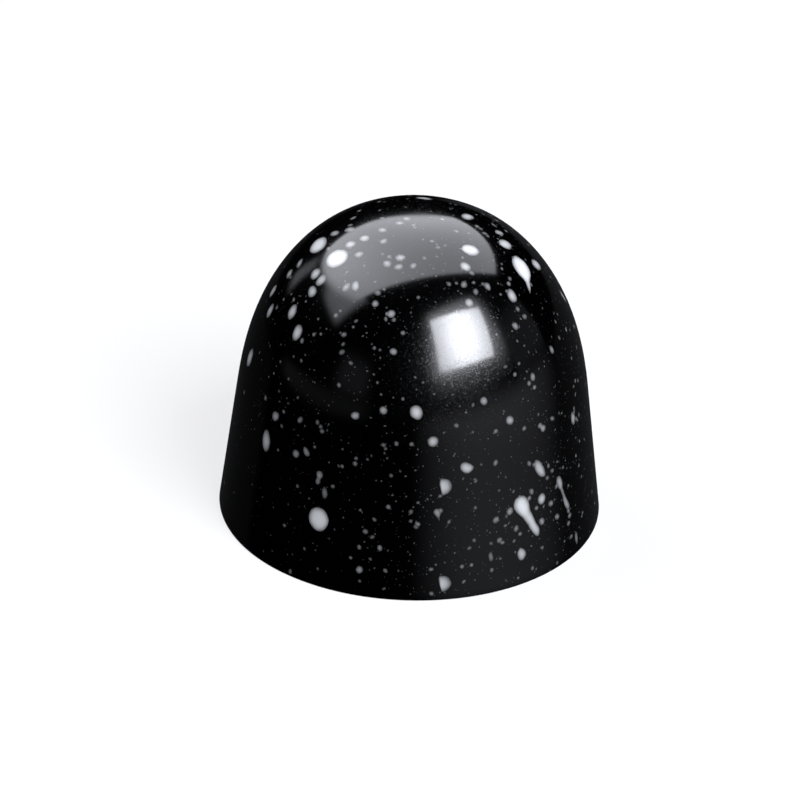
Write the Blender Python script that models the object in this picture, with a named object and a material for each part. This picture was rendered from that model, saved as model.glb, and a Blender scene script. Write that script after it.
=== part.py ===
"""Moulded chocolate bonbon: a tall round dome that stands on its flat, scraped underside.

The bonbon is one solid turned about +Z, and its origin is the middle of the underside.
A straight wall rises from the foot with the draft that lets it leave its mould, and runs
without a break into a dome that is a little fuller than half an ellipse.
All sizes are in metres.
"""

import bpy
import bmesh
from math import cos, pi, radians, sin, tan
from mathutils import Vector

# Driving dimensions. The foot's radius is the one the wall and the underside would
# meet at, if their edge weren't rounded.
FOOT_RADIUS = 0.0140
WALL_HEIGHT = 0.0096
WALL_DRAFT = radians(7.6)
DOME_HEIGHT = 0.0137
DOME_FULLNESS = 2.45
EDGE_ROUND = 0.00015

# Facets round the axis, round the foot's edge, up the wall and over the dome
AROUND = 96
EDGE_STEPS = 3
WALL_STEPS = 4
DOME_STEPS = 22

SHELL_COLOUR = (0.0025, 0.0025, 0.0028, 1.0)
SHELL_ROUGHNESS = 0.08
FOOT_SHARPNESS = radians(40)


def clear_objects():
    """Removes every object, so that the file holds only the bonbon."""
    for old in list(bpy.data.objects):
        bpy.data.objects.remove(old, do_unlink=True)


def edge_points():
    """The rounded edge at the foot: an arc from the underside round to the wall."""
    turned = pi / 2 + WALL_DRAFT
    centre = FOOT_RADIUS - EDGE_ROUND * tan(turned / 2)
    points = []
    for step in range(EDGE_STEPS + 1):
        angle = turned * step / EDGE_STEPS
        points.append((centre + EDGE_ROUND * sin(angle), EDGE_ROUND * (1 - cos(angle))))
    return points


def wall_point(height):
    """The point of the wall at a height above the underside."""
    return FOOT_RADIUS - tan(WALL_DRAFT) * height, height


def dome_point(share):
    """The point of the dome at a share of its turn, from the shoulder (0) to the crown (1).

    The curve is a superellipse, sheared so that it starts in line with the wall.
    """
    shoulder_radius, shoulder_height = wall_point(WALL_HEIGHT)
    turn = share * pi / 2
    across = cos(turn) ** (2 / DOME_FULLNESS)
    lift = DOME_HEIGHT * sin(turn) ** (2 / DOME_FULLNESS)
    radius = (shoulder_radius - tan(WALL_DRAFT) * lift) * across
    return radius, shoulder_height + lift


def profile():
    """Half the bonbon's outline as (radius, height), from the underside to just below the crown."""
    points = edge_points()
    edge_height = points[-1][1]
    for step in range(1, WALL_STEPS + 1):
        height = edge_height + (WALL_HEIGHT - edge_height) * step / WALL_STEPS
        points.append(wall_point(height))
    for step in range(1, DOME_STEPS):
        points.append(dome_point(step / DOME_STEPS))
    return points


def black_cocoa_butter():
    """The shell's finish: a thin layer of black cocoa butter, glossy from the mould."""
    material = bpy.data.materials.new("black_cocoa_butter")
    material.use_nodes = True
    surface = material.node_tree.nodes["Principled BSDF"]
    surface.inputs["Base Color"].default_value = SHELL_COLOUR
    surface.inputs["Roughness"].default_value = SHELL_ROUGHNESS
    surface.inputs["Metallic"].default_value = 0.0
    return material


def turned_shell():
    """Spins the outline about +Z, then closes it with a flat underside and a crown."""
    bm = bmesh.new()
    outline = [bm.verts.new((radius, 0.0, height)) for radius, height in profile()]
    edges = [bm.edges.new(pair) for pair in zip(outline, outline[1:])]
    bmesh.ops.spin(
        bm,
        geom=outline + edges,
        cent=Vector((0.0, 0.0, 0.0)),
        axis=Vector((0.0, 0.0, 1.0)),
        angle=2 * pi,
        steps=AROUND,
        use_merge=True,
    )

    open_edges = [edge for edge in bm.edges if edge.is_boundary]
    foot_rim = [edge for edge in open_edges if edge.verts[0].co.z < WALL_HEIGHT]
    crown_rim = [edge for edge in open_edges if edge.verts[0].co.z > WALL_HEIGHT]
    bmesh.ops.contextual_create(bm, geom=foot_rim)
    crown = bm.verts.new((0.0, 0.0, WALL_HEIGHT + DOME_HEIGHT))
    for edge in crown_rim:
        bm.faces.new((edge.verts[0], edge.verts[1], crown))
    bmesh.ops.recalc_face_normals(bm, faces=bm.faces)
    return bm


def build_bonbon():
    """Makes the bonbon's object, shaded smooth but for the edge of its foot."""
    mesh = bpy.data.meshes.new("bonbon")
    bm = turned_shell()
    bm.to_mesh(mesh)
    bm.free()
    mesh.shade_smooth()
    mesh.set_sharp_from_angle(angle=FOOT_SHARPNESS)
    mesh.materials.append(black_cocoa_butter())
    bonbon = bpy.data.objects.new("bonbon", mesh)
    bpy.context.scene.collection.objects.link(bonbon)
    return bonbon


clear_objects()
build_bonbon()
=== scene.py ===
# %% [markdown]
# # A moulded bonbon in black, splattered with white
#
# This object is a filled chocolate with a licorice caramel inside. A chocolatier flicks and
# sprays white cocoa butter into a polished mould, sprays black cocoa butter over it, then
# casts a chocolate shell, fills it, and closes it with more chocolate. Turned out of the
# mould, the white lies inside the black like ink in glass: it can be seen, but not felt.
#
# So there are four things to make: the turned body, the scraped chocolate that closes it,
# the splatter in all its sizes, and a studio whose lights the gloss can mirror.

from functools import partialmethod
from math import cos, pi, radians, sin, sqrt, tan

import bmesh
import bpy
import numpy as np
from mathutils import Matrix, Vector


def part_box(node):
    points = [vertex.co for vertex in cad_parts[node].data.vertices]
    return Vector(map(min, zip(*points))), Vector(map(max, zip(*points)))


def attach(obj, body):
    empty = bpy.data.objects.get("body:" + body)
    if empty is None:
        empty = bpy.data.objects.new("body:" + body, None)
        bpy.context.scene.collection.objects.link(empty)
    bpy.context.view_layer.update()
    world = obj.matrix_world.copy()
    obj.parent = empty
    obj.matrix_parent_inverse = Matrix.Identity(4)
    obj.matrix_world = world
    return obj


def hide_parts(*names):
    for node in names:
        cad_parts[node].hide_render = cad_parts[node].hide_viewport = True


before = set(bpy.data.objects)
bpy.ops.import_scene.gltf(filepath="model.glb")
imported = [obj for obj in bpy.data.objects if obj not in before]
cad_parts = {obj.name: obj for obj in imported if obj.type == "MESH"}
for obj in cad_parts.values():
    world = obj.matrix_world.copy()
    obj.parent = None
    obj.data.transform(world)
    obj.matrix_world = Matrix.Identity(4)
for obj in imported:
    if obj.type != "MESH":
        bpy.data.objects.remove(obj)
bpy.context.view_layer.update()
MM = 0.001
scene = bpy.context.scene
low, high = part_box("bonbon")
print("bonbon, mm:", [round((high[axis] - low[axis]) / MM, 2) for axis in range(3)])

# %% [markdown]
# ## The sizes that everything follows
#
# The body is turned about a standing axis, so its shape is one outline. From the foot up it
# has a tiny rounded edge, a straight wall that leans in by the mould's draft, and a dome.
# A half ellipse looks too pointed for this dome, so it is a superellipse, whose fullness
# above 2 pushes the shoulder outwards. The splatter stands up to 0.015 mm proud of the body
# and has to stay inside the frame, so the body is made 0.02 mm lower than its frame. At the
# foot, the rounded edge leaves it as much room.

# %% The outline's sizes
FILM_ROOM = 0.02 * MM
EDGE_ROUND = 0.15 * MM
DRAFT = radians(7.6)
FULLNESS = 2.45
WALL_HEIGHT = 9.6 * MM
DOME_HEIGHT = high.z - FILM_ROOM - WALL_HEIGHT
FOOT_RADIUS = high.x
print("wall, dome, foot radius, mm:", [round(v / MM, 2) for v in (WALL_HEIGHT, DOME_HEIGHT, FOOT_RADIUS)])

# %% [markdown]
# ## The camera
#
# It looks down on the bonbon from the front with a long lens, as for a catalogue, and is
# turned a little about its own axis, so that the bonbon leans to the right in the picture.
# It aims a little below and to the left of the bonbon's middle, which leaves the bonbon
# above the picture's centre without shifting the lens.

# %% The camera
VIEW_HEIGHT = radians(28.5)
VIEW_DISTANCE = 252 * MM
LENS = 157.5
LEAN = radians(1.72)
AIM_LEFT, AIM_BELOW = 0.89 * MM, 2.89 * MM

forward = Vector((0, cos(VIEW_HEIGHT), -sin(VIEW_HEIGHT)))
right = Vector((1, 0, 0))
up = right.cross(forward)
middle = Vector((0, 0, high.z / 2))
station = middle - forward * VIEW_DISTANCE
aim = middle - right * AIM_LEFT - up * AIM_BELOW

camera = bpy.data.objects.new("camera", bpy.data.cameras.new("camera"))
camera.data.lens = LENS
camera.data.sensor_width = 36
camera.data.clip_start = 0.01
turned = (aim - station).to_track_quat("-Z", "Y").to_matrix() @ Matrix.Rotation(LEAN, 3, "Z")
camera.matrix_world = Matrix.Translation(station) @ turned.to_4x4()
scene.collection.objects.link(camera)
scene.camera = camera
scene.view_settings.view_transform = "Standard"
print("camera, mm from the bonbon:", round(VIEW_DISTANCE / MM))

# %% [markdown]
# ## Helpers for trees of nodes
#
# Materials and Geometry Nodes are both trees of nodes. One function adds a node to either
# kind of tree, with its settings, and with a value or a link on each input. Formulas made
# of Math nodes are hard to read, so what it returns takes Python's own signs: a + b adds a
# Math node that adds the two, and returns what comes out of it in turn. The other node
# used most is Map Range: it takes a value, the range that this comes from, and the range
# that it goes to.

# %% Colours, nodes and formulas
def linear(colour):
    """The three linear numbers of an sRGB colour written as hex, with an alpha of 1."""
    parts = [int(colour[place:place + 2], 16) / 255 for place in (0, 2, 4)]
    return [v / 12.92 if v <= 0.04045 else ((v + 0.055) / 1.055) ** 2.4 for v in parts] + [1.0]


def add(tree, kind, inputs=(), **settings):
    """Adds a node, with its settings, and with a value or a link on each input.

    The inputs are given by name, or as a list that follows the node's own order.
    """
    node = tree.nodes.new(kind)
    for name, setting in settings.items():
        setattr(node, name, setting)
    for name, given in inputs.items() if isinstance(inputs, dict) else enumerate(inputs):
        source = given.source if isinstance(given, Value) else given
        if isinstance(source, bpy.types.NodeSocket):
            tree.links.new(source, node.inputs[name])
        else:
            node.inputs[name].default_value = source
    return Value(tree, node.outputs[0] if node.outputs else None)


class Value:
    """The first output of a node in a tree, or a plain number, for links and formulas."""

    def __init__(self, tree, source):
        self.tree = tree
        self.source = source

    def __getitem__(self, output):
        """Another output of the same node, by its name or its number."""
        return Value(self.tree, self.source.node.outputs[output])

    def math(self, operation, *others):
        """The result of a Math node whose first input is this value."""
        return add(self.tree, "ShaderNodeMath", [self, *others], operation=operation)

    __add__ = partialmethod(math, "ADD")
    __sub__ = partialmethod(math, "SUBTRACT")
    __mul__ = partialmethod(math, "MULTIPLY")
    __truediv__ = partialmethod(math, "DIVIDE")
    __pow__ = partialmethod(math, "POWER")

    def __rsub__(self, other):
        return Value(self.tree, other) - self

    def __rtruediv__(self, other):
        return Value(self.tree, other) / self


print("mid grey in linear light:", [round(part, 3) for part in linear("808080")[:3]])

# %% [markdown]
# A Geometry Nodes tree gets named inputs, so that the sizes are told to it from outside,
# and an end that makes all its instances real and puts the finish on. To run one, an object
# wears it as a modifier, and what it made is kept as a plain mesh that stands on its own.

# %% Starting, ending and running a tree
def nodes_tree(name, **sockets):
    """A Geometry Nodes tree with inputs of each kind. Returns the tree, and its inputs by name."""
    tree = bpy.data.node_groups.new(name, "GeometryNodeTree")
    tree.interface.new_socket("Geometry", in_out="OUTPUT", socket_type="NodeSocketGeometry")
    for kind, labels in sockets.items():
        for label in labels:
            tree.interface.new_socket(label, in_out="INPUT", socket_type="NodeSocket" + kind)
    given = tree.nodes.new("NodeGroupInput").outputs
    return tree, {socket.name: Value(tree, socket) for socket in given if socket.name}


def end_tree(tree, geometry, finish):
    """Makes a tree's instances real, puts the finish on them, and gives the result out."""
    real = add(tree, "GeometryNodeRealizeInstances", {"Geometry": geometry})
    painted = add(tree, "GeometryNodeSetMaterial", {"Geometry": real, "Material": finish})
    add(tree, "NodeGroupOutput", {"Geometry": painted})
    print(f"{tree.name}: {len(tree.nodes)} nodes")
    return tree


def run_tree(name, tree, values, start=None):
    """Runs a tree on a mesh, or on nothing, and returns its result as an object of its own."""
    worker = bpy.data.objects.new("worker", start or bpy.data.meshes.new("empty"))
    scene.collection.objects.link(worker)
    modifier = worker.modifiers.new("nodes", "NODES")
    modifier.node_group = tree
    for item in tree.interface.items_tree:
        if item.name in values:
            modifier[item.identifier] = values[item.name]
    depsgraph = bpy.context.evaluated_depsgraph_get()
    made = bpy.data.meshes.new_from_object(
        worker.evaluated_get(depsgraph), preserve_all_data_layers=True, depsgraph=depsgraph
    )
    bpy.data.objects.remove(worker)
    made.name = name
    piece = bpy.data.objects.new(name, made)
    scene.collection.objects.link(piece)
    triangles = sum(len(face.vertices) - 2 for face in made.polygons)
    print(f"{name}: {triangles} triangles")
    return piece


def material(name, surface, *facts, **more):
    """A material. A function adds the nodes of its surface, from the facts given on."""
    made = bpy.data.materials.new(name)
    made.use_nodes = True
    tree = made.node_tree
    tree.nodes.clear()
    add(tree, "ShaderNodeOutputMaterial", {"Surface": surface(tree, *facts, **more)})
    print(f"{name}: {len(tree.nodes)} nodes")
    return made


# %% [markdown]
# ## Black cocoa butter, glossy from the mould
#
# Cocoa butter that sets against polished polycarbonate copies it, so it has the gloss of a
# lacquer. It is a dielectric with an index near 1.46: head on it mirrors only a thirtieth of
# the light, and the black under it swallows the rest, so the sides look black and only the
# lamps show. The finish is never quite perfect. Its roughness drifts over some millimetres,
# and where the mould wasn't wiped spotless, it is peppered with dull grains less than a tenth
# of a millimetre wide, which scatter a strong lamp into a gritty glow around its mirror image.
# They are few nearly everywhere, and many at one place at the front, where the mould was
# touched. There the cocoa butter is hazy too. A haze leaves the lamp's image sharp and lays a
# wide, weak glow over it, so it is a second, duller shader, mixed in by a small share.

# %% The black finish
COCOA_BUTTER_IOR = 1.46
GLOSS_ROUGHNESS = 0.09
SHINIEST, DULLEST = 0.85, 1.3  # times that roughness
DRIFT_SIZE = 5 * MM
NOISE_LOW, NOISE_HIGH = 0.3, 0.7  # nearly all of a noise lies between these
GRAIN_GAP = 0.075 * MM
GRAIN_FILL = 0.6  # how much of its cell a grain fills
GRAIN_ROUGHNESS = 0.36
GRAIN_HEIGHT = 0.002 * MM
FEWEST_GRAINS, MOST_GRAINS = 0.03, 0.6  # the share of cells that hold a grain
PATCH_SIZE = 4 * MM
PATCH_LOW, PATCH_HIGH = 0.35, 0.6
THINNEST_PATCH = 0.6
HAZE_ROUGHNESS = 0.24
MOST_HAZE = 0.17
TOUCHED = (2.4 * MM, -11.2 * MM, 15.8 * MM)
TOUCHED_CORE, TOUCHED_REACH = 1.3 * MM, 6.5 * MM
COLOUR_A, COLOUR_B, COLOUR_OUT = 6, 7, 2  # a Mix node's sockets for colours


def grains(tree, place, near):
    """Grains in some of the cells of a fine honeycomb: 1 on top of a grain, 0 beside it."""
    patches = add(tree, "ShaderNodeTexNoise", {"Vector": place, "Scale": 1 / PATCH_SIZE, "Detail": 2.0})
    uneven = add(tree, "ShaderNodeMapRange", [patches, PATCH_LOW, PATCH_HIGH, THINNEST_PATCH, 1.0])
    cells = add(tree, "ShaderNodeTexVoronoi", {"Vector": place, "Scale": 1 / GRAIN_GAP})
    lot = add(tree, "ShaderNodeSeparateColor", [cells["Color"]])
    chosen = lot.math("LESS_THAN", near * uneven)
    hill = add(
        tree, "ShaderNodeMapRange", [cells, 0.0, GRAIN_FILL, 1.0, 0.0], interpolation_type="SMOOTHSTEP"
    )
    return chosen * hill


def black_cocoa_butter(tree):
    place = add(tree, "ShaderNodeTexCoord")["Object"]
    drift = add(tree, "ShaderNodeTexNoise", {"Vector": place, "Scale": 1 / DRIFT_SIZE, "Detail": 3.0})
    gloss = add(tree, "ShaderNodeMapRange", [
        drift, NOISE_LOW, NOISE_HIGH, GLOSS_ROUGHNESS * SHINIEST, GLOSS_ROUGHNESS * DULLEST
    ])
    shade = add(tree, "ShaderNodeMix", {
        "Factor": drift, COLOUR_A: linear("000000"), COLOUR_B: linear("020203")
    }, data_type="RGBA")
    away = add(tree, "ShaderNodeVectorMath", [place, TOUCHED], operation="DISTANCE")
    near = add(tree, "ShaderNodeMapRange", [
        away["Value"], TOUCHED_CORE, TOUCHED_REACH, MOST_GRAINS, FEWEST_GRAINS
    ], interpolation_type="SMOOTHSTEP")
    grain = grains(tree, place, near)
    rough = add(tree, "ShaderNodeMapRange", [grain, 0.0, 1.0, gloss, GRAIN_ROUGHNESS])
    relief = add(tree, "ShaderNodeBump", {"Height": grain, "Strength": 1.0, "Distance": GRAIN_HEIGHT})
    polished, hazy = [
        add(tree, "ShaderNodeBsdfPrincipled", {
            "Base Color": shade[COLOUR_OUT], "IOR": COCOA_BUTTER_IOR,
            "Roughness": roughness, "Normal": relief,
        })
        for roughness in (rough, HAZE_ROUGHNESS)
    ]
    haze = near * (MOST_HAZE / MOST_GRAINS)
    return add(tree, "ShaderNodeMixShader", [haze, polished, hazy])


BLACK = material("black_cocoa_butter", black_cocoa_butter)

# %% [markdown]
# ## The body, turned by a rule
#
# Every point of the body is named by two numbers: how far round it is, and how far along
# the outline, from the middle of the underside, out to the edge, and up to the crown.
# Geometry Nodes lays a flat grid and moves each of its points by a formula. The height grows
# along the edge, the wall and the dome in turn, and the radius shrinks with the draft and
# with the dome. The grid's two sides meet, and merge into a seam that nobody sees. The same
# two numbers make a map of the surface, kept for whoever bakes the finish later.

# %% The tree of the turned body
ROWS_UNDER, ROWS_EDGE, ROWS_WALL, ROWS_DOME = 12, 4, 24, 72
ROWS = ROWS_UNDER + ROWS_EDGE + ROWS_WALL + ROWS_DOME
AROUND = 256
CAP_SHARE = 0.9  # how far out the hollow for the closing chocolate reaches
LIP_SHARE = 0.03  # and how much further its lip slopes
CAP_RECESS = 0.4 * MM
MERGE = 0.001 * MM
BAKE_MAP = "OFBake"


def turned_body():
    tree, given = nodes_tree(
        "Turned body", Int=["Around", "Rows"], Material=["Finish"],
        Float=["Foot radius", "Draft", "Wall height", "Dome height", "Fullness", "Edge round", "Recess"],
    )
    grid = add(tree, "GeometryNodeMeshGrid", {
        "Size X": 1.0, "Size Y": 1.0, "Vertices X": given["Around"] + 1, "Vertices Y": given["Rows"] + 1
    })
    spot = add(tree, "ShaderNodeSeparateXYZ", [add(tree, "GeometryNodeInputPosition")])
    round_share = spot["X"] + 0.5
    share = spot["Y"] + 0.5

    edge_start = ROWS_UNDER / ROWS
    wall_start = edge_start + ROWS_EDGE / ROWS
    dome_start = wall_start + ROWS_WALL / ROWS
    stretches = {
        "spread": (0.0, edge_start, 1.0),
        "edge turn": (edge_start, wall_start, pi / 2),
        "climb": (wall_start, dome_start, given["Wall height"] - given["Edge round"]),
        "dome turn": (dome_start, 1.0, pi / 2),
    }
    done = {}
    for name, (start, end, most) in stretches.items():
        done[name] = add(tree, "ShaderNodeMapRange", [share, start, end, 0.0, most])

    power = 2.0 / given["Fullness"]
    across = done["dome turn"].math("COSINE").math("MAXIMUM", 0.0) ** power
    dome_rise = given["Dome height"] * done["dome turn"].math("SINE") ** power
    edge_rise = given["Edge round"] * (1.0 - done["edge turn"].math("COSINE"))
    edge_inset = given["Edge round"] * (1.0 - done["edge turn"].math("SINE"))
    rise = edge_rise + done["climb"] + dome_rise
    narrowing = given["Draft"].math("TANGENT") * rise
    radius = ((given["Foot radius"] - narrowing) * across - edge_inset) * done["spread"]
    hollow = add(tree, "ShaderNodeMapRange", [
        done["spread"], CAP_SHARE, CAP_SHARE + LIP_SHARE, given["Recess"], 0.0
    ])
    angle = round_share * (2 * pi)
    point = add(tree, "ShaderNodeCombineXYZ", [
        radius * angle.math("COSINE"), radius * angle.math("SINE"), rise + hollow
    ])

    chart = add(tree, "ShaderNodeCombineXYZ", [round_share, share])
    mapped = add(tree, "GeometryNodeStoreNamedAttribute", {
        "Geometry": grid, "Name": BAKE_MAP, "Value": chart
    }, data_type="FLOAT2", domain="CORNER")
    moved = add(tree, "GeometryNodeSetPosition", {"Geometry": mapped, "Position": point})
    closed = add(tree, "GeometryNodeMergeByDistance", {"Geometry": moved, "Distance": MERGE})
    smooth = add(tree, "GeometryNodeSetShadeSmooth", {"Geometry": closed, "Shade Smooth": True})
    return end_tree(tree, smooth, given["Finish"])


# %% The body
body = run_tree("shell", turned_body(), {
    "Foot radius": FOOT_RADIUS, "Draft": DRAFT, "Wall height": WALL_HEIGHT,
    "Dome height": DOME_HEIGHT, "Fullness": FULLNESS, "Edge round": EDGE_ROUND,
    "Recess": CAP_RECESS, "Around": AROUND, "Rows": ROWS, "Finish": BLACK,
})
tops = [max(v.co[axis] for v in body.data.vertices) / MM for axis in range(3)]
print("body reaches, mm:", [round(top, 3) for top in tops])

# %% [markdown]
# ## The scraped chocolate that closes the foot
#
# Once the filling has set, melted chocolate is poured over the mould and drawn level with a
# scraper, so the underside is dull and dark brown, with shallow lines all one way. It is
# a disc let into the foot. It is modelled on its own, because it is another chocolate
# and another finish, and the scraper's lines are real relief, a few hundredths deep.

# %% The underside's finish
SCRAPE_GAP = 0.9 * MM
ALONG_THE_STROKE = 0.15  # how fine the pattern is that way, next to 1 across it
SMOOTHEST_SCRAPE, ROUGHEST_SCRAPE = 0.4, 0.65


def scraped_chocolate(tree):
    place = add(tree, "ShaderNodeTexCoord")["Object"]
    stretched = add(tree, "ShaderNodeMapping", {"Vector": place, "Scale": (ALONG_THE_STROKE, 1.0, 1.0)})
    lines = add(tree, "ShaderNodeTexNoise", {"Vector": stretched, "Scale": 2 / SCRAPE_GAP, "Detail": 5.0})
    shade = add(tree, "ShaderNodeMix", {
        "Factor": lines, COLOUR_A: linear("2a1a13"), COLOUR_B: linear("3d281e")
    }, data_type="RGBA")
    rough = add(tree, "ShaderNodeMapRange", [lines, 0.0, 1.0, SMOOTHEST_SCRAPE, ROUGHEST_SCRAPE])
    return add(tree, "ShaderNodeBsdfPrincipled", {
        "Base Color": shade[COLOUR_OUT], "IOR": COCOA_BUTTER_IOR, "Roughness": rough
    })


SCRAPED = material("scraped_chocolate", scraped_chocolate)

# %% The underside
CAP_RADIUS = (FOOT_RADIUS - EDGE_ROUND) * (CAP_SHARE + LIP_SHARE / 2)
CAP_TUCK = 0.2 * MM
CAP_THICKNESS = CAP_RECESS + CAP_TUCK
CAP_RINGS, CAP_AROUND = 40, 96
SCRAPE_DEPTH = 0.03 * MM
QUICK_GAP = 0.37 * SCRAPE_GAP
STROKE_SLANT = 0.12


def scraper_line(x, y):
    """Height of the scraped face above the table: slow and quick waves across the stroke."""
    stroke = y + STROKE_SLANT * x
    slow, quick = sin(2 * pi * stroke / SCRAPE_GAP), sin(2 * pi * stroke / QUICK_GAP)
    return SCRAPE_DEPTH * (0.5 + 0.3 * slow + 0.2 * quick)


def closing_disc():
    """The disc, from the middle of its scraped face, over its rim, to the middle of its top."""
    count = 2 * CAP_RINGS
    points, faces = [], []
    for ring in range(count + 1):
        share = min(ring, count - ring) / CAP_RINGS
        for step in range(CAP_AROUND):
            angle = 2 * pi * step / CAP_AROUND
            x, y = CAP_RADIUS * share * cos(angle), CAP_RADIUS * share * sin(angle)
            points.append((x, y, scraper_line(x, y) if ring <= CAP_RINGS else CAP_THICKNESS))
            if ring:
                a, b = [(ring - 1) * CAP_AROUND + turn % CAP_AROUND for turn in (step, step + 1)]
                faces.append((b, a, a + CAP_AROUND, b + CAP_AROUND))
    mesh = bpy.data.meshes.new("closing_disc")
    mesh.from_pydata(points, [], faces)

    # Its middles are still rings of points that meet, so these merge
    bm = bmesh.new()
    bm.from_mesh(mesh)
    bmesh.ops.remove_doubles(bm, verts=bm.verts, dist=MERGE)
    bmesh.ops.dissolve_degenerate(bm, edges=bm.edges, dist=MERGE / 10)
    bmesh.ops.recalc_face_normals(bm, faces=bm.faces)
    bm.to_mesh(mesh)
    bm.free()
    mesh.shade_smooth()
    mesh.materials.append(SCRAPED)
    return mesh


disc = bpy.data.objects.new("closing_disc", closing_disc())
scene.collection.objects.link(disc)
print("closing disc, faces:", len(disc.data.polygons))

# %% [markdown]
# ## White cocoa butter, thick and thin
#
# The splatter is white fat with a white pigment, and how white it looks depends on how much of
# it there is: a thick splash hides the black behind it, and a thin one lets it through
# and turns a bluish grey. A large drop is thick in the middle and thin at its rim, which
# is what gives it a soft edge. So the film carries its depth as a number on each point, and
# the finish turns depth into colour with the law for light lost in a layer.
# Its gloss is the body's own, because both set against the same mould.

# %% The white finish
FILM_DEPTH = "film_depth"
DEEPEST = 4.0


def white_cocoa_butter(tree):
    depth = add(tree, "ShaderNodeAttribute", attribute_name=FILM_DEPTH)["Fac"]
    hidden = 1.0 - (depth * -DEEPEST).math("EXPONENT")
    shade = add(tree, "ShaderNodeMix", {
        "Factor": hidden, COLOUR_A: linear("010101"), COLOUR_B: linear("eef2fa")
    }, data_type="RGBA")
    return add(tree, "ShaderNodeBsdfPrincipled", {
        "Base Color": shade[COLOUR_OUT], "IOR": COCOA_BUTTER_IOR, "Roughness": GLOSS_ROUGHNESS
    })


WHITE = material("white_cocoa_butter", white_cocoa_butter)

# %% [markdown]
# ## The shapes that splashes take
#
# A drop that lands square on the mould is round. One that lands aslant is drawn out to a
# tear, a slow one runs on as a streak, two that land side by side make a pair, and a
# wiped one is a half moon. All are ribbons: a line from end to end, with a half width on its
# left and its right that changes along it. So one function makes them all, from rules for
# the widths and for how the line bends. The widths are lumps, joined where they meet.
# Each is one unit long and one wide, and closed: its rim is joined underneath, where the
# body hides it.
#
# A film is deepest in the middle and thins towards its rim, so its edge looks soft, and
# it is deeper where the splash is broad, so that a thin tail is also greyer.

# %% The ribbon that every splash is made of
BROAD_IS_DEEP, ENDS_THIN_OUT, RIM_THINS_OUT = 1.2, 1.4, 2
UNDERSIDE_OF_CHART = 0.02


def lump(s, centre=0.0, reach=1.0, height=1.0, blunt=2.0):
    """Half width at s of a lump that reaches out from its centre. A blunt one has square ends."""
    return height * sqrt(max(1 - abs((s - centre) / reach) ** blunt, 0.0))


def joined(*lumps):
    """Half width of lumps that run into each other."""
    return sum(half**3 for half in lumps) ** (1 / 3)


def ribbon(left, right, bend, blunt, rows, across):
    """A closed ribbon's points, its depth at each, and its faces, of which the last is underneath.

    It runs from its head at s = -1 to its tail at s = 1, and its depth fades out at both.
    """
    stations = [-cos(pi * row / rows) for row in range(rows + 1)]
    widest = max(left(s) + right(s) for s in stations) / 2
    points, depths = [], []
    for s in stations[1:-1]:
        breadth = (left(s) + right(s)) / (2 * widest)
        in_from_ends = (1 - abs(s) ** blunt) ** ENDS_THIN_OUT
        for column in range(across + 1):
            c = -cos(pi * column / across)
            side = (left if c > 0 else right)(s)
            points.append((0.5 * c * side / widest - bend(s), 0.5 * s, 0.0))
            depths.append(breadth**BROAD_IS_DEEP * in_from_ends * (1 - c * c) ** RIM_THINS_OUT)
    first, last = len(points), len(points) + 1
    points += [(-bend(-1), -0.5, 0.0), (-bend(1), 0.5, 0.0)]
    depths += [0.0, 0.0]

    stride = across + 1
    faces = [(first, column + 1, column) for column in range(across)]
    for row in range(rows - 2):
        for column in range(across):
            corner = row * stride + column
            faces.append((corner, corner + 1, corner + stride + 1, corner + stride))
    end = (rows - 2) * stride
    faces += [(end + column, end + column + 1, last) for column in range(across)]
    one_rim = [row * stride for row in range(rows - 1)]
    other_rim = [row * stride + across for row in reversed(range(rows - 1))]
    faces.append([first] + one_rim + [last] + other_rim)
    return points, depths, faces


def splash(name, left=lump, right=None, bend=lambda s: 0.0, blunt=2.0, rows=14, across=8):
    """A ribbon as an object. It carries its depth, and a chart whose first number is that depth.

    The chart's lower half is for one side of the ribbon, and its upper half for the other.
    """
    points, depths, faces = ribbon(left, right or left, bend, blunt, rows, across)
    mesh = bpy.data.meshes.new(name)
    mesh.from_pydata(points, [], faces)
    mesh.attributes.new("bulge", "FLOAT", "POINT").data.foreach_set("value", depths)
    chart = mesh.uv_layers.new(name=BAKE_MAP)
    for face in mesh.polygons:
        under = face.index == len(faces) - 1
        on_one_side = sum(points[v][0] for v in face.vertices) > 0
        for turn, loop in enumerate(face.loop_indices):
            corner = face.vertices[turn]
            along = 0.25 * (1 + 2 * points[corner][1]) + 0.5 * on_one_side
            chart.data[loop].uv = (UNDERSIDE_OF_CHART * (turn % 2) if under else depths[corner], along)
    return bpy.data.objects.new(f"{name}_shape", mesh)


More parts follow.
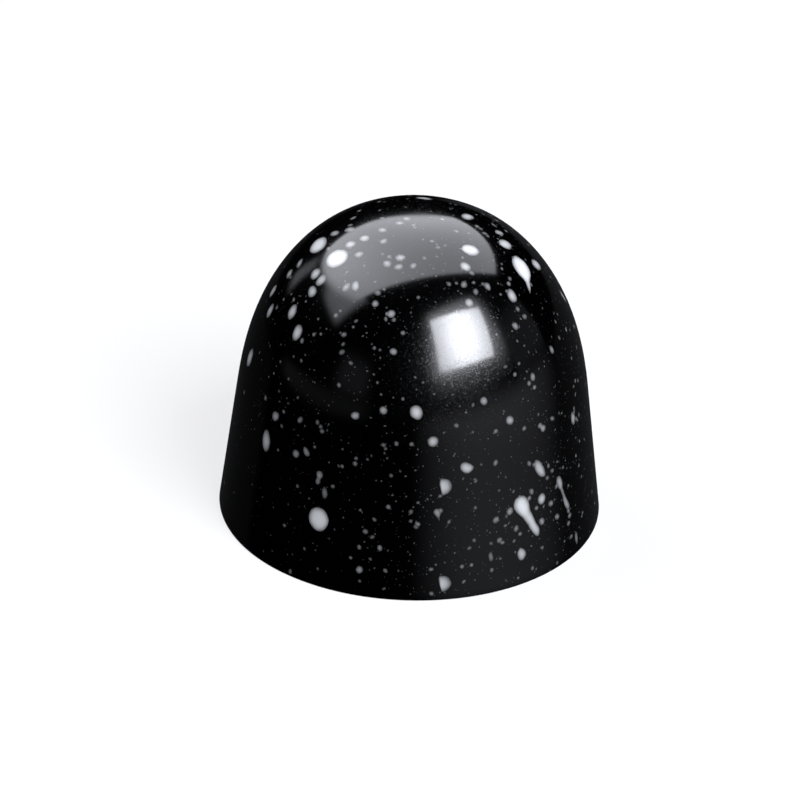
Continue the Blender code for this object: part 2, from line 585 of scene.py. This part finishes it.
# %% The shapes
RULES = {
    "round": {},
    "tear": dict(
        left=lambda s: joined(lump(s, -0.38, 0.62), lump(s, 0.1, 0.9, 0.5 - 0.4 * s, blunt=4)),
        bend=lambda s: -0.08 * s * s, blunt=5, rows=20,
    ),
    "drip": dict(left=lambda s: joined(lump(s, -0.18, 0.82), lump(s, height=0.2, blunt=6)), blunt=3),
    "streak": dict(
        left=lambda s: joined(lump(s, -0.58, 0.42), lump(s, height=0.66 - 0.06 * s, blunt=6)),
        blunt=6, rows=24,
    ),
    "half_moon": dict(
        left=lambda s: lump(s, height=0.35) + 0.3 * max(-s, 0) * lump(s, blunt=6),
        right=lambda s: lump(s, height=1.6),
    ),
    "bean": dict(bend=lambda s: 0.1 * s * s - 0.05, blunt=3),
    "pair": dict(left=lambda s: joined(lump(s, -0.5, 0.5, 0.8), lump(s, 0.4, 0.6)), blunt=4, rows=16),
    "thread": dict(
        left=lambda s: joined(
            lump(s, -0.64, 0.36), lump(s, 0.55, 0.45, 0.75), lump(s, height=0.52, blunt=8)
        ),
        bend=lambda s: 0.06 * (s - 0.2) ** 2, blunt=7, rows=24,
    ),
    "small": dict(rows=6, across=4),
    "speck": dict(rows=4, across=2),
    "mist": dict(rows=3, across=2),
}
SHAPES = {name: splash(name, **rule) for name, rule in RULES.items()}
print("faces in a shape:", {name: len(shape.data.polygons) for name, shape in SHAPES.items()})

# %% [markdown]
# ## Laying a splash on the body
#
# A splash starts flat, at its place, and then has to follow the body's curve, as film does.
# This tree sets the flat shape on each point that it is given, turned and stretched as the
# point says, and lets its outline wander a little, so that none is a perfect ellipse. Then
# it moves each point of the shape to the nearest place on the body, raised by five to
# fifteen thousandths of a millimetre where the film is deep, and sunk by two at its rim.
# The normals are the body's own, so that a mirrored lamp runs over black and white without
# a break.

# %% The tree that lays splashes
RIM_SUNK = 0.002 * MM
LEAST_RAISED, MOST_RAISED = 0.005 * MM, 0.015 * MM
RAISED_FROM = 0.25  # the share of its depth from which a film stands at its full height
ON_A_POINT = {"facing": "FLOAT_VECTOR", "along": "FLOAT_VECTOR", "size": "FLOAT_VECTOR", "depth": "FLOAT"}
ON_A_SHAPE = {"bulge": "FLOAT", BAKE_MAP: "FLOAT_VECTOR"}


def flat_shapes(tree, given, read):
    """The flat shape, turned and stretched as each point says, and made real."""
    stand = add(tree, "FunctionNodeAxesToRotation", {
        "Primary Axis": read["facing"], "Secondary Axis": read["along"]
    }, primary_axis="Z", secondary_axis="Y")
    shape = add(tree, "GeometryNodeObjectInfo", {"Object": given["Shape"]})
    placed = add(tree, "GeometryNodeInstanceOnPoints", {
        "Points": given["Points"], "Instance": shape["Geometry"], "Rotation": stand, "Scale": read["size"]
    })
    return add(tree, "GeometryNodeRealizeInstances", {"Geometry": placed})


def wandering(tree, given, geometry):
    """Shifts each point a little, and its neighbours in much the same way."""
    noise = add(tree, "ShaderNodeTexNoise", {"Scale": 1.0 / given["Wander size"], "Detail": 1.0})
    centred = add(tree, "ShaderNodeVectorMath", [noise["Color"], (0.5, 0.5, 0.5)], operation="SUBTRACT")
    drift = add(tree, "ShaderNodeVectorMath", {0: centred, "Scale": given["Wander"]}, operation="SCALE")
    return add(tree, "GeometryNodeSetPosition", {"Geometry": geometry, "Offset": drift})


def wrapping(tree, target, normal, geometry, read):
    """Moves each point to the body, and then up or down from it by its depth."""
    nearest = add(tree, "GeometryNodeProximity", {"Geometry": target}, target_element="FACES")
    height = add(tree, "ShaderNodeMapRange", [read["depth"], 0.0, 1.0, LEAST_RAISED, MOST_RAISED])
    raised = add(tree, "ShaderNodeMapRange", [read["bulge"], 0.0, RAISED_FROM, -RIM_SUNK, height])
    lift = add(tree, "ShaderNodeVectorMath", {0: normal, "Scale": raised}, operation="SCALE")
    spot = add(tree, "ShaderNodeVectorMath", [nearest, lift], operation="ADD")
    return add(tree, "GeometryNodeSetPosition", {"Geometry": geometry, "Position": spot})


def laid_splashes():
    tree, given = nodes_tree(
        "Laid splashes", Geometry=["Points"], Object=["Body", "Shape"],
        Float=["Wander", "Wander size"], Material=["Finish"],
    )
    read = {
        name: add(tree, "GeometryNodeInputNamedAttribute", {"Name": name}, data_type=kind)
        for name, kind in (ON_A_POINT | ON_A_SHAPE).items()
    }
    target = add(tree, "GeometryNodeObjectInfo", {"Object": given["Body"]})["Geometry"]
    normal = add(tree, "GeometryNodeSampleNearestSurface", {
        "Mesh": target, "Value": add(tree, "GeometryNodeInputNormal")
    }, data_type="FLOAT_VECTOR")
    wandered = wandering(tree, given, flat_shapes(tree, given, read))
    wrapped = wrapping(tree, target, normal, wandered, read)

    deep = add(tree, "GeometryNodeStoreNamedAttribute", {
        "Geometry": wrapped, "Name": FILM_DEPTH, "Value": read["bulge"] * read["depth"]
    }, data_type="FLOAT", domain="POINT")
    scaled = add(tree, "ShaderNodeCombineXYZ", [read["depth"], 1.0, 1.0])
    chart = add(tree, "ShaderNodeVectorMath", [read[BAKE_MAP], scaled], operation="MULTIPLY")
    mapped = add(tree, "GeometryNodeStoreNamedAttribute", {
        "Geometry": deep, "Name": BAKE_MAP, "Value": chart
    }, data_type="FLOAT2", domain="CORNER")
    smooth = add(tree, "GeometryNodeSetShadeSmooth", {"Geometry": mapped, "Shade Smooth": True})
    faced = add(
        tree, "GeometryNodeSetMeshNormal", {"Mesh": smooth, "Custom Normal": normal},
        mode="FREE", domain="POINT",
    )
    for name in (*ON_A_POINT, "bulge"):
        faced = add(tree, "GeometryNodeRemoveAttribute", {"Geometry": faced, "Name": name})
    return end_tree(tree, faced, given["Finish"])


LAY = laid_splashes()

# %% [markdown]
# ## The marks that make this bonbon itself
#
# Small drops may fall anywhere, but the large ones are what an eye remembers, so they are
# listed one by one. A place on a dome is easiest to say as on a globe: degrees round from the
# front, and millimetres down from the crown along the surface, which are walked along
# the outline. Each row then has the length and the width in millimetres, and the lean of
# the long side away from straight down, in degrees. The back has marks of its own.

# %% Where a place on the body is
NEXT_STEP = 0.05 * MM


def outline(samples=2000):
    """The body's outline from the crown to the foot: distance walked, radius and height."""
    turn = np.linspace(pi / 2, 0, samples)
    rise = DOME_HEIGHT * np.sin(turn) ** (2 / FULLNESS)
    height = np.append(WALL_HEIGHT + rise, 0.0)
    across = np.append(np.clip(np.cos(turn), 0, 1) ** (2 / FULLNESS), 1.0)
    radius = (FOOT_RADIUS - tan(DRAFT) * height) * across
    walked = np.append(0.0, np.cumsum(np.hypot(np.diff(radius), np.diff(height))))
    return walked, radius, height


WALKED, RADII, HEIGHTS = outline()


def on_body(turn, down):
    """The point, the way out, the way down and the way round, at a place on the body."""
    angle = radians(turn)
    outward, onward = Vector((sin(angle), -cos(angle), 0)), Vector((cos(angle), sin(angle), 0))
    stops = max(down * MM - NEXT_STEP, 0), down * MM, min(down * MM + NEXT_STEP, WALKED[-1])
    radius, height = np.interp(stops, WALKED, RADII), np.interp(stops, WALKED, HEIGHTS)
    downward = (outward * (radius[2] - radius[0]) + Vector((0, 0, height[2] - height[0]))).normalized()
    facing = onward.cross(downward)
    if facing.dot(outward) < 0 and facing.z < 0:
        facing.negate()
    return outward * radius[1] + Vector((0, 0, height[1])), facing, downward, onward


print("from crown to foot, mm:", round(WALKED[-1] / MM, 1))

# %% The marks, by kind: degrees round, mm down, length, width, lean
MARKS = {
    "round": (
        (-28.3, 25.3, 2, 1.75, 7), (-57, 7, 2.05, 1.8, -60), (-81, 7.5, 2.05, 1.65, -82),
        (1.5, 16.3, 1.25, 1, 18), (-53, 21.4, 1.9, 1.05, 3), (-51, 12.9, 1.35, 1, 6),
        (-59, 11.9, 1.3, 0.95, 4), (7, 18.4, 0.9, 0.85, 21), (51.5, 9.5, 1.2, 0.88, -2),
        (-50, 19.2, 1, 0.78, -49), (102, 3.6, 1.3, 1, 43), (-75, 17.2, 1.8, 1.1, -13),
        (45, 24.5, 0.98, 0.92, 24), (-55, 9.9, 1.05, 0.9, 68), (-74, 13.2, 1.3, 0.9, 5),
        (34, 6.3, 0.95, 0.9, 50), (34, 17.7, 0.85, 0.7, 38), (-19, 17, 0.75, 0.7, -60),
        (25, 15.9, 0.75, 0.65, 22), (-9.5, 16.3, 0.7, 0.65, 16), (-59, 5.6, 0.95, 0.85, -46),
        (-11, 9.6, 0.7, 0.65, -22), (-33.5, 8.2, 0.95, 0.74, 30), (-55, 4.6, 0.95, 0.8, -83),
        (86, 9.4, 1.35, 1.05, 57), (-14, 28.4, 0.68, 0.62, -62), (-8, 12.2, 0.62, 0.6, 0),
        (65, 20.1, 1.3, 0.75, 12), (-39, 21.1, 0.8, 0.65, -44), (-83, 6.1, 1.05, 0.75, -50),
        (-19.5, 9.1, 0.65, 0.6, 33), (46.5, 15.3, 0.75, 0.55, 8), (60, 14.3, 0.75, 0.55, 10),
        (-78.5, 9.3, 1, 0.72, 54), (-79, 10.4, 1, 0.77, 60), (-82, 12.3, 1.2, 0.9, 4),
        (-54.5, 8.9, 1.05, 0.9, 0), (-61, 8.8, 1.1, 1, 30), (174, 3.5, 1.5, 0.9, 80),
        (91, 12.9, 1.6, 0.7, 17), (27, 9, 0.8, 0.7, 20), (-27, 23.2, 1.1, 0.5, 6),
        (-39, 18.5, 0.65, 0.5, -30), (61, 29.2, 1.3, 0.5, 5), (25.5, 27.6, 0.9, 0.45, 8),
    ),
    "tear": ((69, 8.95, 3.5, 1.8, -34), (9, 23.9, 1.2, 0.6, 17)),
    "drip": (
        (46, 5.1, 1.7, 1.25, 236), (79, 6.5, 1.55, 1.1, 236), (90, 5.9, 1.15, 0.75, 230),
        (36, 28, 1.25, 0.85, 190),
    ),
    "streak": ((39.2, 25.4, 4.1, 1.38, 27),),
    "half_moon": ((10.3, 21.8, 1.45, 0.95, 5), (10.3, 29.2, 1.45, 0.95, 7)),
    "bean": (
        (18, 20.5, 1.15, 0.9, 69), (-35, 20.6, 0.85, 0.6, 45), (45, 22.1, 1.95, 0.86, 29),
        (52.4, 24.15, 0.75, 0.45, -55),
    ),
    "pair": ((-29.5, 22.2, 1.2, 0.62, 170), (47, 19.1, 1, 0.62, 40)),
    "thread": ((55.3, 25.05, 3.5, 0.75, 20),),
}
BACK_MARKS = {
    "round": (
        (118, 15.5, 1.1, 0.9, 12), (131, 21, 1.5, 1.2, -8), (143, 25.8, 0.9, 0.8, 20),
        (152, 13.6, 1.3, 1.1, 30), (163, 19.2, 0.8, 0.7, 0), (171, 27.3, 1.7, 1.4, -10),
        (186, 16.4, 1.2, 1, 15), (197, 23.6, 0.9, 0.75, -25), (206, 12.8, 1, 0.9, 40),
        (214, 18.3, 1.6, 1.3, -12), (226, 26.2, 1, 0.8, 10), (237, 14.9, 1.1, 0.85, 5),
        (244, 21.7, 1.3, 0.9, -6), (140, 17.4, 0.7, 0.6, 0), (222, 22.4, 0.7, 0.6, 15),
    ),
    "tear": ((148, 19.6, 2.6, 1.3, 20),),
    "drip": ((201, 20.7, 1.5, 1, 195), (124, 26.9, 1.3, 0.85, 175)),
    "streak": ((168, 22.6, 3.4, 1.2, -18),),
    "half_moon": ((231, 17.2, 1.3, 0.9, -5),),
    "bean": ((134, 28.4, 0.9, 0.7, 50), (209, 27.5, 1.1, 0.8, -40)),
    "pair": ((181, 25.4, 1.1, 0.65, 12),),
    "thread": ((218, 24.6, 2.9, 0.65, -22),),
}
print("large marks:", sum(len(rows) for kinds in (MARKS, BACK_MARKS) for rows in kinds.values()))

# %% The small marks: degrees round, mm down, width
SMALL_MARKS = (
    (-13, 5.2, 0.74), (-21, 5.9, 0.68), (-12.5, 6, 0.63), (-2.5, 5.8, 0.57), (-36, 4.1, 0.63),
    (-51, 3.2, 0.68), (-47, 1.8, 0.63), (-53, 1, 0.57), (-38, 8.5, 0.65), (-45, 5.9, 0.68),
    (-78, 5, 0.80), (-98, 4.7, 0.57), (32.5, 24.5, 0.63), (34.5, 26, 0.51), (41, 23.6, 0.51),
    (27.5, 24.9, 0.55), (28.5, 26.5, 0.51), (51.5, 26.5, 0.57), (49, 25.2, 0.57), (44.5, 26.2, 0.63),
    (58, 27.1, 0.51), (57, 27.6, 0.48), (48, 23.1, 0.43), (50.5, 22.8, 0.43), (58, 28.8, 0.46),
    (40.5, 8.2, 0.63), (27.5, 7.6, 0.57), (32.5, 8.3, 0.51), (100, 5.6, 0.5), (83, 4.5, 0.45),
    (78, 4.9, 0.5), (57, 8.4, 0.42), (-20, 8.3, 0.5), (45.5, 11.5, 0.6), (20, 4.2, 0.42),
    (-22, 5.3, 0.42), (52.5, 11.2, 0.45), (6, 5.1, 0.4), (16, 5.05, 0.32), (-28, 5.2, 0.34),
    (28, 4.15, 0.34),
)
SMALL_LENGTH, SMALL_LEAN = 1.2, 5  # times the width, and times the degrees round
MARKS["small"] = tuple(
    (turn, down, SMALL_LENGTH * width, width, SMALL_LEAN * turn) for turn, down, width in SMALL_MARKS
)
print("small marks:", len(SMALL_MARKS))

# %% Laying the marks
DEPTH_AT_1_MM, DEPTH_GROWTH = 1.1, 2.0
MARK_WANDER = 0.17 * MM
WANDER_SIZE = 0.7 * MM


def mark_depth(width):
    """How strongly a mark of some width in mm hides the black: broad ones are far deeper."""
    return min(DEPTH_AT_1_MM * width**DEPTH_GROWTH, DEEPEST)


def marks(rows):
    """A mesh with one point for each mark, and on it all that the tree needs to know."""
    points, depths = [], []
    ways = {"facing": [], "along": [], "size": []}
    for turn, down, length, width, lean in rows:
        point, facing, downward, onward = on_body(turn, down)
        points.append(point)
        ways["facing"].extend(facing)
        ways["along"].extend(downward * cos(radians(lean)) + onward * sin(radians(lean)))
        ways["size"].extend((width * MM, length * MM, 1.0))
        depths.append(mark_depth(width) / DEEPEST)
    mesh = bpy.data.meshes.new("marks")
    mesh.from_pydata(points, [], [])
    for name, numbers in ways.items():
        mesh.attributes.new(name, "FLOAT_VECTOR", "POINT").data.foreach_set("vector", numbers)
    mesh.attributes.new("depth", "FLOAT", "POINT").data.foreach_set("value", depths)
    return mesh


splatter = []
for kind, rows in MARKS.items():
    splatter.append(run_tree(f"{kind}_marks", LAY, {
        "Body": body, "Shape": SHAPES[kind], "Wander": MARK_WANDER, "Wander size": WANDER_SIZE,
        "Finish": WHITE,
    }, marks(rows + BACK_MARKS.get(kind, ()))))

# %% [markdown]
# ## Drops, specks and mist
#
# What the brush flicks off is hundreds of drops, then thousands of specks, and at last a mist
# too fine to see one by one. They are scattered with a fixed seed for each size, and a drop's
# width comes from a random number raised to a power, so that small ones are the most. The
# spray came from the right and from above, so it is denser there, in front and behind. It
# fell in drifting clouds, and it leaves the very edge of the foot and the underside bare.

# %% How the spray falls
SPRAY_FROM = (0.85, 0.35, 0.35)  # how much it counts to be on the right, front or back, and high
SPRAY_REACH = 8 * MM
THINNEST_SPRAY = 0.15
CLOUD_SIZE = 6 * MM
CLOUD_LOW, CLOUD_HIGH = 0.35, 0.65
BARE_FOOT = 0.35 * MM


def spray_density(tree, given):
    """How many drops fall on a square metre, at each place on the body."""
    spot = add(tree, "GeometryNodeInputPosition")
    above_foot = add(tree, "ShaderNodeSeparateXYZ", [spot])["Z"]
    cloud = add(tree, "ShaderNodeTexNoise", {"Vector": spot, "Scale": 1 / CLOUD_SIZE, "Detail": 2.0})
    cloudy = add(tree, "ShaderNodeMapRange", [cloud, CLOUD_LOW, CLOUD_HIGH, THINNEST_SPRAY, 1.0])
    towards = add(tree, "ShaderNodeVectorMath", [spot, SPRAY_FROM], operation="MULTIPLY")
    pull = add(tree, "ShaderNodeSeparateXYZ", [towards])
    pulled = pull["X"] + pull["Z"] + pull["Y"].math("ABSOLUTE")
    side = add(tree, "ShaderNodeMapRange", [pulled, -SPRAY_REACH, SPRAY_REACH, THINNEST_SPRAY, 1.0])
    mixed = cloudy * given["Cloudiness"] + (1.0 - given["Cloudiness"])
    share = mixed * side * above_foot.math("GREATER_THAN", BARE_FOOT)
    return given["Per square millimetre"] * (1 / MM**2) * share


# %% The tree that scatters the spray
SMALL_ONES = 1.6  # the power that makes small drops the most
LONGEST = 0.5  # how much longer than wide the longest drop is
THIN_ONE, THICK_ONE = 0.7, 1.3  # times the depth that a drop of its width has
FINE_WANDER = 0.05 * MM


def scattered_splashes():
    tree, given = nodes_tree(
        "Scattered splashes", Object=["Body", "Shape"], Int=["Seed"], Material=["Finish"],
        Float=["Per square millimetre", "Smallest", "Largest", "Least depth", "Cloudiness"],
    )
    target = add(tree, "GeometryNodeObjectInfo", {"Object": given["Body"]})["Geometry"]
    fallen = add(tree, "GeometryNodeDistributePointsOnFaces", {
        "Mesh": target, "Density": spray_density(tree, given), "Seed": given["Seed"]
    }, distribute_method="RANDOM")
    draws = []
    for step, (least, most) in enumerate([(0.0, 1.0), (0.0, 1.0), (THIN_ONE, THICK_ONE)], start=1):
        limits = {2: least, 3: most, "Seed": given["Seed"] + step}
        draws.append(add(tree, "FunctionNodeRandomValue", limits, data_type="FLOAT")[1])
    breadth, stretch, thickness = draws
    heading = add(tree, "FunctionNodeRandomValue", {
        0: (-1.0, -1.0, -1.0), 1: (1.0, 1.0, 1.0), "Seed": given["Seed"] + 4
    }, data_type="FLOAT_VECTOR")
    width = given["Smallest"] + breadth**SMALL_ONES * (given["Largest"] - given["Smallest"])
    length = width * (stretch**2.0 * LONGEST + 1.0)
    size = add(tree, "ShaderNodeCombineXYZ", [width, length, 1.0])
    deep = (width / MM) ** DEPTH_GROWTH * DEPTH_AT_1_MM + given["Least depth"]

    told = dict(facing=fallen["Normal"], along=heading, size=size, depth=deep * (thickness / DEEPEST))
    points = fallen["Points"]
    for name, kind in ON_A_POINT.items():
        points = add(tree, "GeometryNodeStoreNamedAttribute", {
            "Geometry": points, "Name": name, "Value": told[name]
        }, data_type=kind, domain="POINT")
    laid = add(tree, "GeometryNodeGroup", {
        "Points": points, "Body": given["Body"], "Shape": given["Shape"], "Finish": given["Finish"],
        "Wander": FINE_WANDER, "Wander size": WANDER_SIZE,
    }, node_tree=LAY)
    return end_tree(tree, laid, given["Finish"])


SCATTER = scattered_splashes()

# %% The drops, the specks and the mist
FACTS = ("Per square millimetre", "Seed", "Smallest", "Largest", "Least depth", "Cloudiness")
SPRAY = {
    "drops": ("small", 0.55, 5, 0.18 * MM, 0.47 * MM, 0.08, 0.4),
    "specks": ("speck", 1.0, 11, 0.11 * MM, 0.22 * MM, 0.08, 0.5),
    "mist": ("mist", 2.6, 23, 0.057 * MM, 0.115 * MM, 0.09, 0.7),
}
for name, (shape, *facts) in SPRAY.items():
    given = {"Body": body, "Shape": SHAPES[shape], "Finish": WHITE}
    splatter.append(run_tree(name, SCATTER, given | dict(zip(FACTS, facts))))
for shape in SHAPES.values():
    bpy.data.objects.remove(shape)

# %% [markdown]
# ## The studio
#
# A black mirror shows nothing but its surroundings, so the studio is part of the picture.
# A large cloth box hangs over and behind the bonbon, with a dimmer flap at its left. A
# smaller and much brighter window stands at the front right, in a faint glow of its own, and
# the table beside the bonbon catches some of that light. Dark walls, two stands, a shelf and
# a lit slit at the back are just bright enough to give the sides a shape. All are glowing
# cards that only a gloss can see. What lights the white splatter is apart from them, so that
# each can be set right: a soft lamp where the window is, and a weaker one at the back left.
#
# Each card is a patch between four corners whose sides may bow, because cloth on a frame
# does. Its glow fades to clear near its sides, and is strongest where its bulb is.

# %% The glow of a card
CARD_MAP = "card"


def glowing(tree, glow, fades, fall=1.0, bulb=(0.5, 0.5, 1.0, 1.0, 0.0), slope=(1.0,) * 4):
    """The surface of a card, on which x and y run from 0 to 1.

    fades are the shares of it over which it fades at its left, right, near and far side, and
    fall is how steeply. bulb is where its bulb is, how far that reaches across and along, and
    how much it adds. slope is the brightness at each corner, going round from the near left.
    """
    place = add(tree, "ShaderNodeSeparateXYZ", [add(tree, "ShaderNodeUVMap", uv_map=CARD_MAP)])
    x, y = place["X"], place["Y"]
    soft = 1.0
    for inwards, reach in zip((x, 1.0 - x, y, 1.0 - y), fades):
        limits = [inwards, 0.0, reach]
        soft = add(tree, "ShaderNodeMapRange", limits, interpolation_type="SMOOTHSTEP") * soft
    near = x * (slope[1] - slope[0]) + slope[0]
    far = x * (slope[2] - slope[3]) + slope[3]
    even = near + y * (far - near)
    bulb_x, bulb_y, reach_x, reach_y, added = bulb
    across, along = (x - bulb_x) / reach_x, (y - bulb_y) / reach_y
    hot = ((across * across + along * along) * -1.0).math("EXPONENT") * added + 1.0
    light = add(tree, "ShaderNodeEmission", {"Color": linear("f4f7ff"), "Strength": even * hot * glow})
    clear = add(tree, "ShaderNodeBsdfTransparent")
    return add(tree, "ShaderNodeMixShader", [soft**fall, clear, light])


# %% Cards that the gloss mirrors
CARD_CELLS = 16
ROOM = 0.5


def direction(turn, rise):
    """The way to a lamp: degrees round from the front to the right, and degrees up."""
    a, e = radians(turn), radians(rise)
    return Vector((sin(a) * cos(e), -cos(a) * cos(e), sin(e)))


def card(name, corners, glow, fades, bows=((0, 0, 0),) * 4, **more):
    """A glowing card. Its corners go round from the near left, and its sides from the near side.

    Each side bows at its middle. Corners and bows are shares of ROOM, from the bonbon's middle.
    """
    near_left, near_right, far_right, far_left = [middle + Vector(corner) * ROOM for corner in corners]
    near_bow, right_bow, far_bow, left_bow = [Vector(bow) * ROOM for bow in bows]
    points, cells = [], []
    for row in range(CARD_CELLS + 1):
        for column in range(CARD_CELLS + 1):
            u, v = column / CARD_CELLS, row / CARD_CELLS
            flat = near_left.lerp(near_right, u).lerp(far_left.lerp(far_right, u), v)
            across = near_bow.lerp(far_bow, v) * 4 * u * (1 - u)
            along = left_bow.lerp(right_bow, u) * 4 * v * (1 - v)
            points.append(flat + across + along)
            if row and column:
                corner = (row - 1) * (CARD_CELLS + 1) + column - 1
                cells.append((corner, corner + 1, corner + CARD_CELLS + 2, corner + CARD_CELLS + 1))
    mesh = bpy.data.meshes.new(name)
    mesh.from_pydata(points, [], cells)
    chart = mesh.uv_layers.new(name=CARD_MAP)
    for loop in mesh.loops:
        row, column = divmod(loop.vertex_index, CARD_CELLS + 1)
        chart.data[loop.index].uv = (column / CARD_CELLS, row / CARD_CELLS)
    mesh.materials.append(material(name, glowing, glow, fades, **more))
    made = bpy.data.objects.new(name, mesh)
    scene.collection.objects.link(made)
    made.visible_camera = False
    made.visible_diffuse = False
    made.visible_shadow = False


def standing_card(name, corners, glow, fades, distance=1, **more):
    """A card whose corners are directions from the bonbon, at a distance that is a share of ROOM."""
    card(name, [direction(*corner) * distance for corner in corners], glow, fades, **more)


card(
    "cloth_box", ((-0.95, -0.3, 1), (1.05, 0.5, 1), (0.3, 2.2, 1), (-1.42, 1.62, 1)), 5.55,
    fades=(0.13, 0.015, 0.025, 0.06), slope=(0.75, 0.68, 0.8, 1.0), bulb=(0.27, 0.26, 0.25, 0.35, 0.6),
    bows=((0, -0.195, 0), (0.13, 0.05, 0), (0, -0.1, 0), (-0.4, 0, 0)),
)
card(
    "cloth_flap", ((-1.85, -0.74, 1.05), (-0.6, -0.42, 1.05), (-0.8, 0.5, 1.05), (-1.8, 0.6, 1.05)), 3.0,
    fades=(0.3, 0.1, 0.22, 0.4), slope=(0.5, 0.85, 1.2, 0.35),
)
standing_card(
    "window", ((18.5, 21.5), (62.5, 20.0), (73, 46.5), (15.0, 53.0)), 14.5,
    fades=(0.04, 0.03, 0.04, 0.05), bulb=(0.52, 0.5, 0.36, 0.9, 1.6),
)
standing_card(
    "window_glow", ((3, 2), (82, 2), (90, 54), (-2, 58)), 3.4, distance=3,
    fades=(0.3, 0.27, 0.42, 0.2), fall=2.5,
)
standing_card(
    "lit_table", ((-1, -30), (112, -30), (112, 5), (-1, 5)), 0.57,
    fades=(0.42, 0.55, 0.02, 0.2), slope=(0.1, 0.1, 1.25, 1.25),
)
standing_card(
    "dark_wall_left", ((-180, -36), (-103, -36), (-103, -2), (-180, -2)), 0.019,
    fades=(0.1, 0.12, 0.02, 0.2),
)
standing_card(
    "dark_wall_right", ((95, -36), (179, -36), (179, 2), (105, 0)), 0.03, distance=2,
    fades=(0.2, 0.08, 0.02, 0.1), slope=(0.8, 0.8, 2.0, 1.0),
)
standing_card("shelf_left", ((-102, -6), (-24, -3), (-22, 8), (-102, 2)), 0.1, fades=(0.2, 0.2, 0.4, 0.4))
standing_card("stand_left", ((-60, 1), (-24, 1), (-26, 28), (-57, 28)), 0.17, fades=(0.35, 0.35, 0.4, 0.4))
standing_card("stand_right", ((74, 0), (107, 0), (107, 36), (74, 36)), 0.18, fades=(0.1, 0.05, 0.3, 0.4))
standing_card(
    "slit_behind", ((-137, 5), (-123, 5), (-123, 27), (-137, 27)), 0.8, fades=(0.4, 0.4, 0.3, 0.3)
)

# %% Lamps for the whites, and the sky
def lamp(name, turn, rise, distance, size, power):
    """A soft square lamp that faces the bonbon, and that the gloss doesn't mirror."""
    light = bpy.data.lights.new(name, "AREA")
    light.size = size
    light.energy = power
    made = bpy.data.objects.new(name, light)
    way = direction(turn, rise)
    facing = way.to_track_quat("Z", "Y").to_matrix().to_4x4()
    made.matrix_world = Matrix.Translation(middle + way * distance) @ facing
    made.visible_glossy = False
    scene.collection.objects.link(made)
    return made


def sky(camera_sees, whites_see, gloss_sees):
    """A plain world that is one brightness to the camera, another to the whites and the gloss."""
    world = bpy.data.worlds.new("sky")
    scene.world = world
    world.use_nodes = True
    tree = world.node_tree
    tree.nodes.clear()
    rays = add(tree, "ShaderNodeLightPath")
    levels = [
        add(tree, "ShaderNodeBackground", {"Color": linear("ffffff"), "Strength": level})
        for level in (camera_sees, whites_see, gloss_sees)
    ]
    unseen = add(tree, "ShaderNodeMixShader", [rays["Is Glossy Ray"], levels[1], levels[2]])
    both = add(tree, "ShaderNodeMixShader", [rays["Is Camera Ray"], unseen, levels[0]])
    add(tree, "ShaderNodeOutputWorld", {"Surface": both})


lamps = [
    lamp("window_lamp", turn=40, rise=45, distance=0.5, size=0.3, power=3.5),
    lamp("cloth_lamp", turn=-115, rise=42, distance=0.6, size=0.5, power=2.15),
]
sky(camera_sees=1.0, whites_see=0.06, gloss_sees=0.0)
print("lamps, watts:", [round(light.data.energy, 2) for light in lamps])

# %% [markdown]
# ## The floor
#
# The bonbon stands on a light table, a sheet of opal acrylic lit from below. That is how
# a catalogue gets its plain pale ground: the lamps' shadows fall on it, but faintly.

# %% The floor
FLOOR_REACH = 4.0
TABLE_GLOW = 0.72


def opal_acrylic(tree):
    return add(tree, "ShaderNodeBsdfPrincipled", {
        "Base Color": linear("8f9092"), "Roughness": 0.6, "Specular IOR Level": 0.0,
        "Emission Color": linear("fdfdff"), "Emission Strength": TABLE_GLOW,
    })


def light_table():
    mesh = bpy.data.meshes.new("floor")
    corners = [(x * FLOOR_REACH, y * FLOOR_REACH, 0) for x, y in ((-1, -1), (1, -1), (1, 1), (-1, 1))]
    mesh.from_pydata(corners, [], [(0, 1, 2, 3)])
    mesh.materials.append(material("opal_acrylic", opal_acrylic))
    made = bpy.data.objects.new("floor", mesh)
    made.visible_glossy = False
    made.visible_diffuse = False
    scene.collection.objects.link(made)


light_table()
print("floor, metres across:", 2 * FLOOR_REACH)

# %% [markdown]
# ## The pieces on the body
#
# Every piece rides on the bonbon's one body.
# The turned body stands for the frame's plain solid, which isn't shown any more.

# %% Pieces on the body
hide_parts("bonbon")
for piece in [body, disc] + splatter:
    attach(piece, "root")
print("pieces:", 2 + len(splatter))
